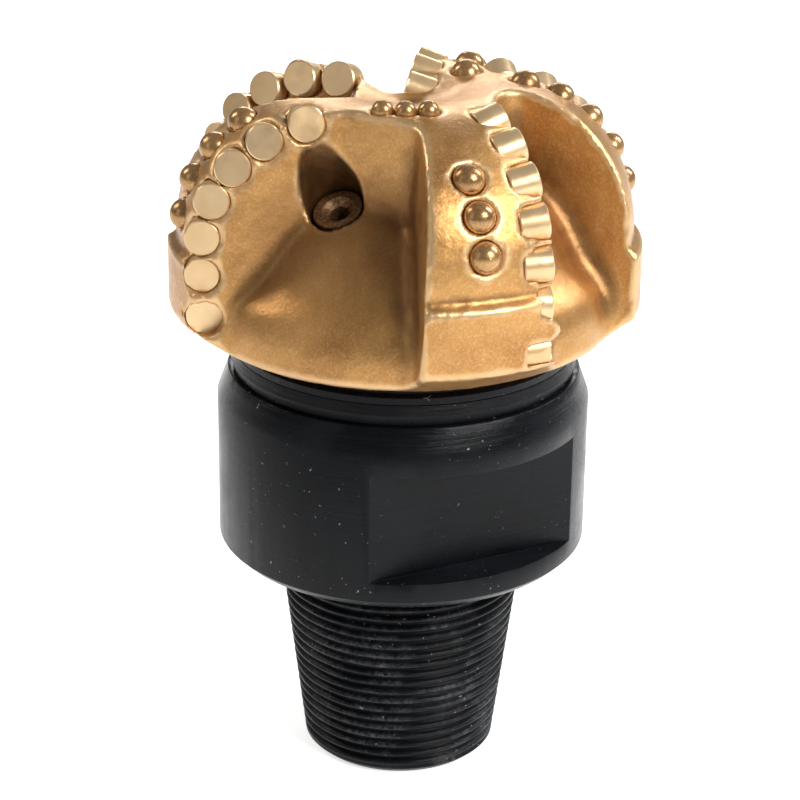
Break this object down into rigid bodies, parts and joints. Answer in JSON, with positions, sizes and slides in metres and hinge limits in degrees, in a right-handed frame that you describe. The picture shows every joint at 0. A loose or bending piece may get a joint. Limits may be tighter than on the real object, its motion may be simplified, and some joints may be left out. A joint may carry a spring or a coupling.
{
  "type": "fixed-cutter drill bit",
  "caption": "Fixed-cutter matrix-body drill bit with curved blades of disc cutters and dome inserts, junk slots, nozzles, breaker flats and a tapered threaded pin.",
  "frame": {"origin": "centre of the nose face of the threaded pin, on the bit's axis", "axes": "+Z along the axis from the pin towards the cutting end; the two breaker flats face +Y and -Y"},
  "size_m": [0.2157, 0.2124, 0.3299],
  "materials": {
    "crown_paint": "metallic gold-bronze paint on cast matrix",
    "cutter_paint": "metallic gold-bronze paint, smoother",
    "dome_paint": "metallic gold-bronze paint, glossier",
    "nozzle_carbide": "dark overspray",
    "neck_paint": "gloss black paint over turned rings",
    "shank_paint": "gloss blue-black paint"
  },
  "bodies": {
    "root": {"blade_1_cutter_1": "cutter_paint", "blade_1_cutter_2": "cutter_paint", "blade_1_cutter_3": "cutter_paint", "blade_1_cutter_4": "cutter_paint", "blade_1_cutter_5": "cutter_paint", "blade_1_cutter_6": "cutter_paint", "blade_1_domes": "dome_paint", "blade_2_cutter_1": "cutter_paint", "blade_2_cutter_2": "cutter_paint", "blade_2_cutter_3": "cutter_paint", "blade_2_cutter_4": "cutter_paint", "blade_2_cutter_5": "cutter_paint", "blade_2_cutter_6": "cutter_paint", "blade_2_domes": "dome_paint", "blade_3_cutter_1": "cutter_paint", "blade_3_cutter_2": "cutter_paint", "blade_3_cutter_3": "cutter_paint", "blade_3_cutter_4": "cutter_paint", "blade_3_cutter_5": "cutter_paint", "blade_3_cutter_6": "cutter_paint", "blade_3_domes": "dome_paint", "blade_4_cutter_1": "cutter_paint", "blade_4_cutter_2": "cutter_paint", "blade_4_cutter_3": "cutter_paint", "blade_4_cutter_4": "cutter_paint", "blade_4_cutter_5": "cutter_paint", "blade_4_cutter_6": "cutter_paint", "blade_4_cutter_7": "cutter_paint", "blade_4_cutter_8": "cutter_paint", "blade_4_domes": "dome_paint", "blade_5_cutter_1": "cutter_paint", "blade_5_cutter_2": "cutter_paint", "blade_5_cutter_3": "cutter_paint", "blade_5_cutter_4": "cutter_paint", "blade_5_cutter_5": "cutter_paint", "blade_5_cutter_6": "cutter_paint", "blade_5_cutter_7": "cutter_paint", "blade_5_domes": "dome_paint", "crown": "crown_paint", "nose_domes": "dome_paint", "nozzle_1": "nozzle_carbide", "nozzle_2": "nozzle_carbide", "nozzle_3": "nozzle_carbide", "nozzle_4": "nozzle_carbide", "nozzle_5": "nozzle_carbide", "shank": "shank_paint", "steel_blank": "neck_paint", "updrill_cutters": "cutter_paint", "weld_bead": "neck_paint"}
  },
  "joints": []
}
